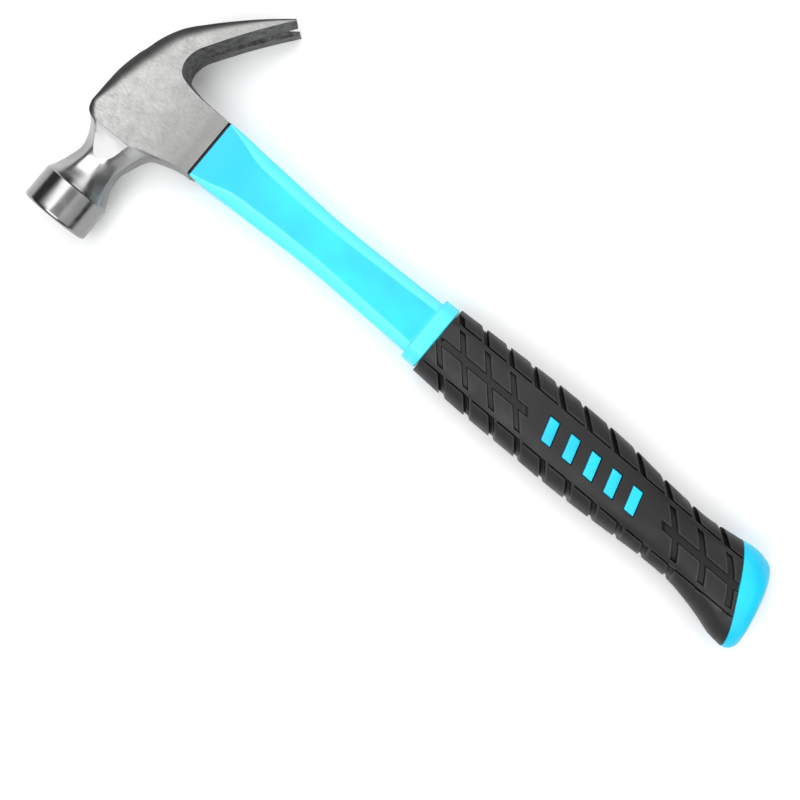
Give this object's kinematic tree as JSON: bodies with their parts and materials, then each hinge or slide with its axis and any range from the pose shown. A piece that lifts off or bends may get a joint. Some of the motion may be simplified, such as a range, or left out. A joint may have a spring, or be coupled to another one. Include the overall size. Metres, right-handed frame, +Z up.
{
  "type": "claw hammer",
  "caption": "Claw hammer: forged steel head with a round face and split claw, faceted blue plastic handle with a fibreglass core and a black rubber grip with diagonal tread.",
  "frame": {"origin": "under the middle of the bounding box, on the surface the hammer lies on", "axes": "+X along the handle from head to butt, -Y the way the striking face looks, +Y towards the claw, +Z up through the hammer's thickness"},
  "size_m": [0.331, 0.1202, 0.0288],
  "materials": {
    "forged_steel": "satin ground, darker as-forged inside the claw",
    "epoxy": "cast resin",
    "sealant": "matt",
    "fibreglass": "pultruded rod",
    "blue_plastic": "moulded, low sheen",
    "soft_rubber": "matt, fine moulded texture"
  },
  "bodies": {
    "root": {"hammer_head": "forged_steel", "eye_resin": "epoxy", "resin_dam": "sealant", "fibreglass_core": "fibreglass", "handle_jacket": "blue_plastic", "grip_sleeve": "soft_rubber"}
  },
  "joints": []
}
